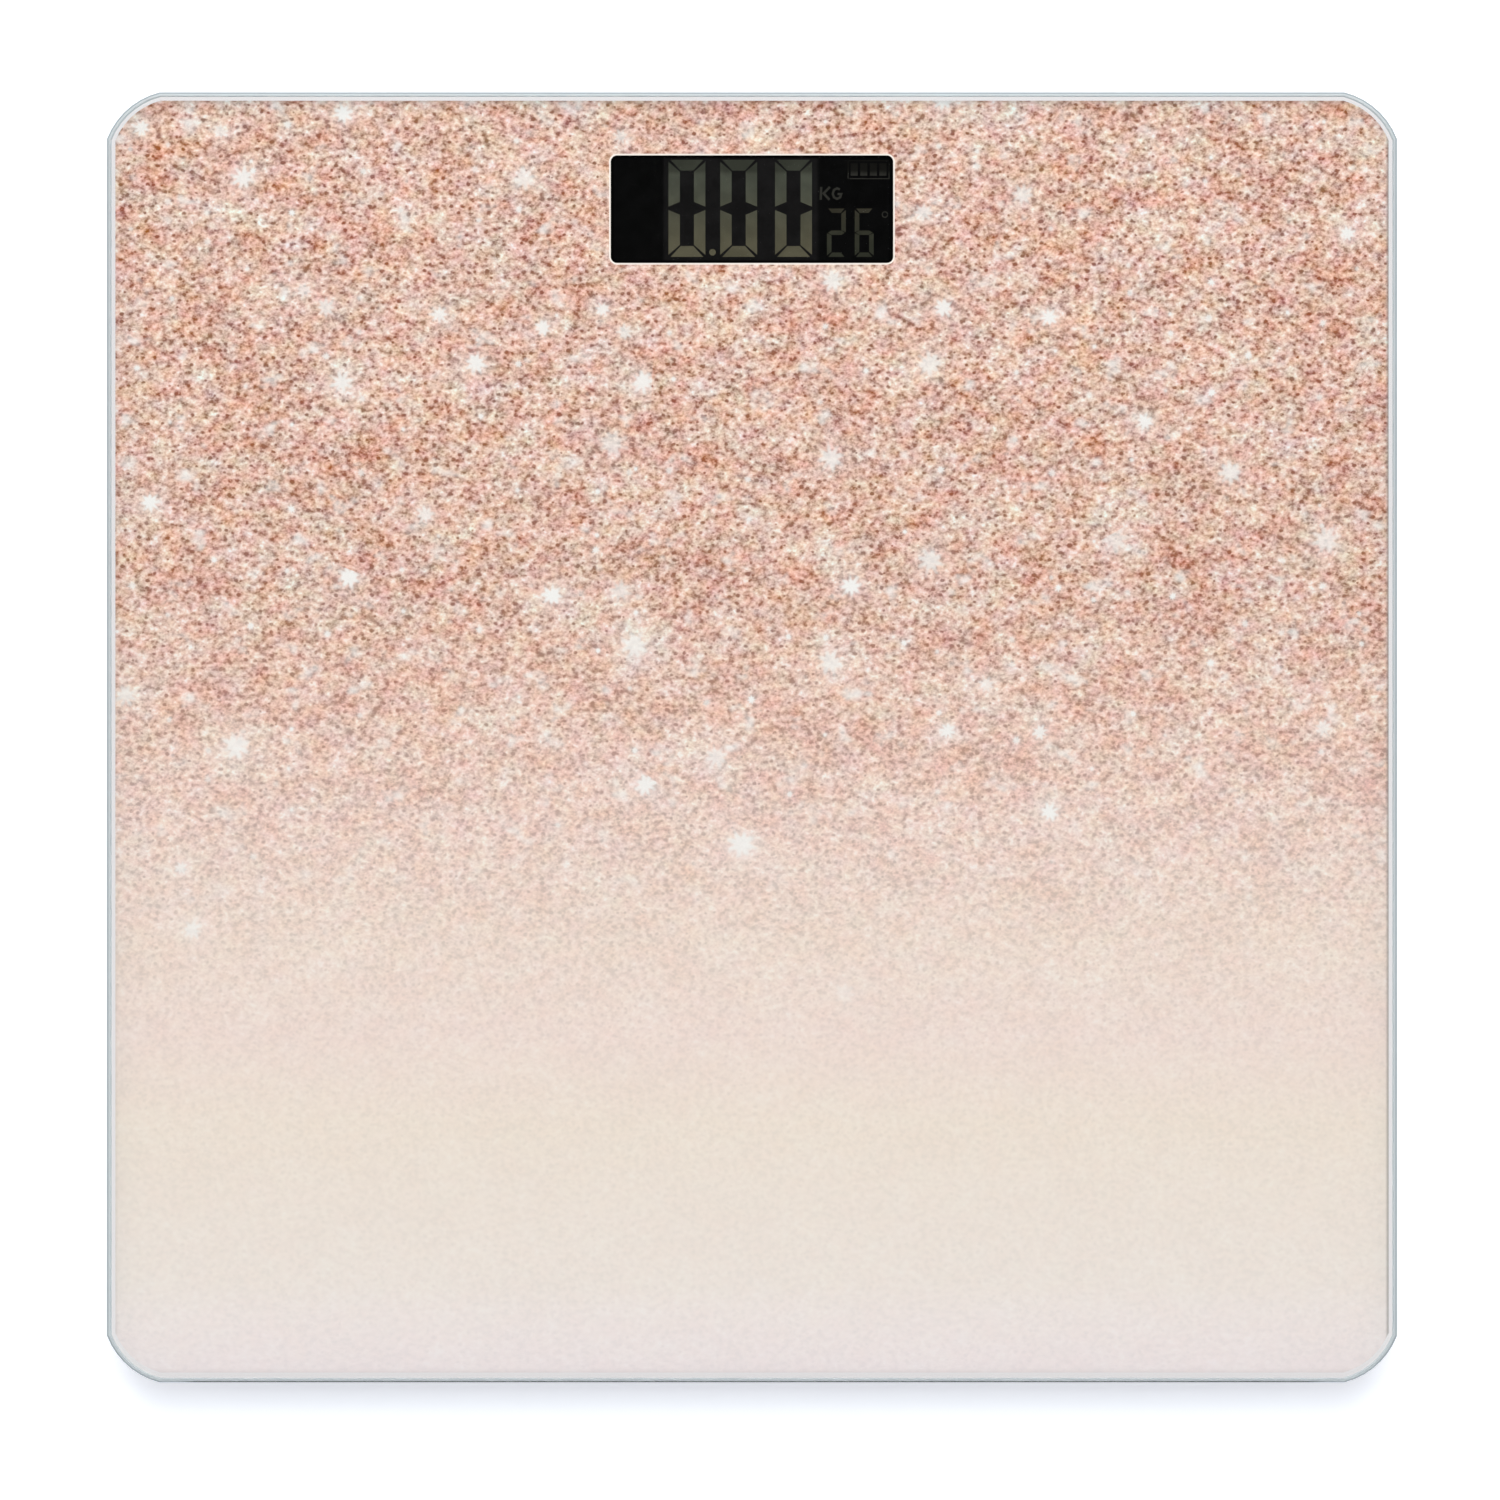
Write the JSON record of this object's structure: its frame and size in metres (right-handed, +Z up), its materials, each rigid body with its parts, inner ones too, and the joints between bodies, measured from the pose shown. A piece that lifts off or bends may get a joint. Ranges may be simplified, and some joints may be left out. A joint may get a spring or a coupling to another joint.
{
  "type": "digital bathroom scale",
  "caption": "Square glass electronic body scale with a rose-gold glitter print, a dark display window, a plastic base tray, load-cell feet and a battery bay below.",
  "frame": {"origin": "on the floor under the middle of the glass", "axes": "+Z up, +Y towards the display edge, +X to the right of a person who reads the display; the front is the -Y side"},
  "size_m": [0.28, 0.28, 0.0232],
  "materials": {
    "clear_glass": "clear toughened glass, polished faces and ground edges",
    "glitter_print": "rose-gold glitter print fading to pale pink",
    "foam_tape": "white double-sided foam tape",
    "tray_plastic": "fine-grained off-white ABS",
    "label_paper": "blank satin sticker",
    "smoked_film": "dark smoked film",
    "black_foam": "black foam",
    "lcd_glass": "negative liquid-crystal cell",
    "light_guide": "milky light guide",
    "black_plastic": "black ABS",
    "contact_rubber": "layered contact rubber",
    "circuit_board": "green solder mask",
    "screw_steel": "zinc-plated steel",
    "black_resin": "black epoxy",
    "component_body": "small electronic parts",
    "button_plastic": "dark grey ABS",
    "battery_case": "printed battery sleeve with a bright end",
    "contact_nickel": "nickel-plated spring steel",
    "wire_pvc": "PVC-covered wires",
    "cell_steel": "stamped nickel-plated steel",
    "white_sealant": "white silicone sealant",
    "pad_rubber": "grey soft rubber"
  },
  "bodies": {
    "scale_body": {"glass_platform": "clear_glass", "print_layer": "glitter_print", "bond_tape": "foam_tape", "base_tray": "tray_plastic", "rating_label": "label_paper", "display_filter": "smoked_film", "lcd_gasket": "black_foam", "lcd_cell": "lcd_glass", "lcd_backlight": "light_guide", "lcd_holder": "black_plastic", "zebra_strip": "contact_rubber", "main_pcb": "circuit_board", "pcb_screws": "screw_steel", "bracket_screws": "screw_steel", "chip_blob": "black_resin", "pcb_components": "component_body", "thermistor": "component_body", "unit_switch": "component_body", "battery_rear": "battery_case", "battery_front": "battery_case", "battery_bridge_contact": "contact_nickel", "battery_positive_contact": "contact_nickel", "battery_negative_contact": "contact_nickel", "battery_leads": "wire_pvc", "load_cell_front_left": "cell_steel", "gauge_potting_front_left": "white_sealant", "cell_bracket_front_left": "tray_plastic", "cell_lead_front_left": "wire_pvc", "load_cell_front_right": "cell_steel", "gauge_potting_front_right": "white_sealant", "cell_bracket_front_right": "tray_plastic", "cell_lead_front_right": "wire_pvc", "load_cell_rear_left": "cell_steel", "gauge_potting_rear_left": "white_sealant", "cell_bracket_rear_left": "tray_plastic", "cell_lead_rear_left": "wire_pvc", "load_cell_rear_right": "cell_steel", "gauge_potting_rear_right": "white_sealant", "cell_bracket_rear_right": "tray_plastic", "cell_lead_rear_right": "wire_pvc"},
    "foot_front_left": {"foot_cup_front_left": "tray_plastic", "foot_pad_front_left": "pad_rubber"},
    "foot_front_right": {"foot_cup_front_right": "tray_plastic", "foot_pad_front_right": "pad_rubber"},
    "foot_rear_left": {"foot_cup_rear_left": "tray_plastic", "foot_pad_rear_left": "pad_rubber"},
    "foot_rear_right": {"foot_cup_rear_right": "tray_plastic", "foot_pad_rear_right": "pad_rubber"},
    "unit_key": {"unit_button": "button_plastic", "switch_plunger": "black_plastic"},
    "battery_lid": {"battery_door": "tray_plastic"}
  },
  "joints": [
    {"name": "foot_front_left_slide", "type": "slide", "parent": "scale_body", "child": "foot_front_left", "axis": [0, 0, 1], "range_m": [0, 0.0004], "stiffness_N_per_m": 1000, "deforming": ["load_cell_front_left"]},
    {"name": "foot_front_right_slide", "type": "slide", "parent": "scale_body", "child": "foot_front_right", "axis": [0, 0, 1], "range_m": [0, 0.0004], "stiffness_N_per_m": 1000, "deforming": ["load_cell_front_right"]},
    {"name": "foot_rear_left_slide", "type": "slide", "parent": "scale_body", "child": "foot_rear_left", "axis": [0, 0, 1], "range_m": [0, 0.0004], "stiffness_N_per_m": 1000, "deforming": ["load_cell_rear_left"]},
    {"name": "foot_rear_right_slide", "type": "slide", "parent": "scale_body", "child": "foot_rear_right", "axis": [0, 0, 1], "range_m": [0, 0.0004], "stiffness_N_per_m": 1000, "deforming": ["load_cell_rear_right"]},
    {"name": "unit_button_slide", "type": "slide", "parent": "scale_body", "child": "unit_key", "axis": [0, 0, 1], "range_m": [0, 0.0003], "stiffness_N_per_m": 5000},
    {"name": "battery_door_hinge", "type": "hinge", "parent": "scale_body", "child": "battery_lid", "pos_m": [0, 0.0719, 0.00335], "axis": [1, 0, 0], "range_deg": [0, 80]}
  ]
}
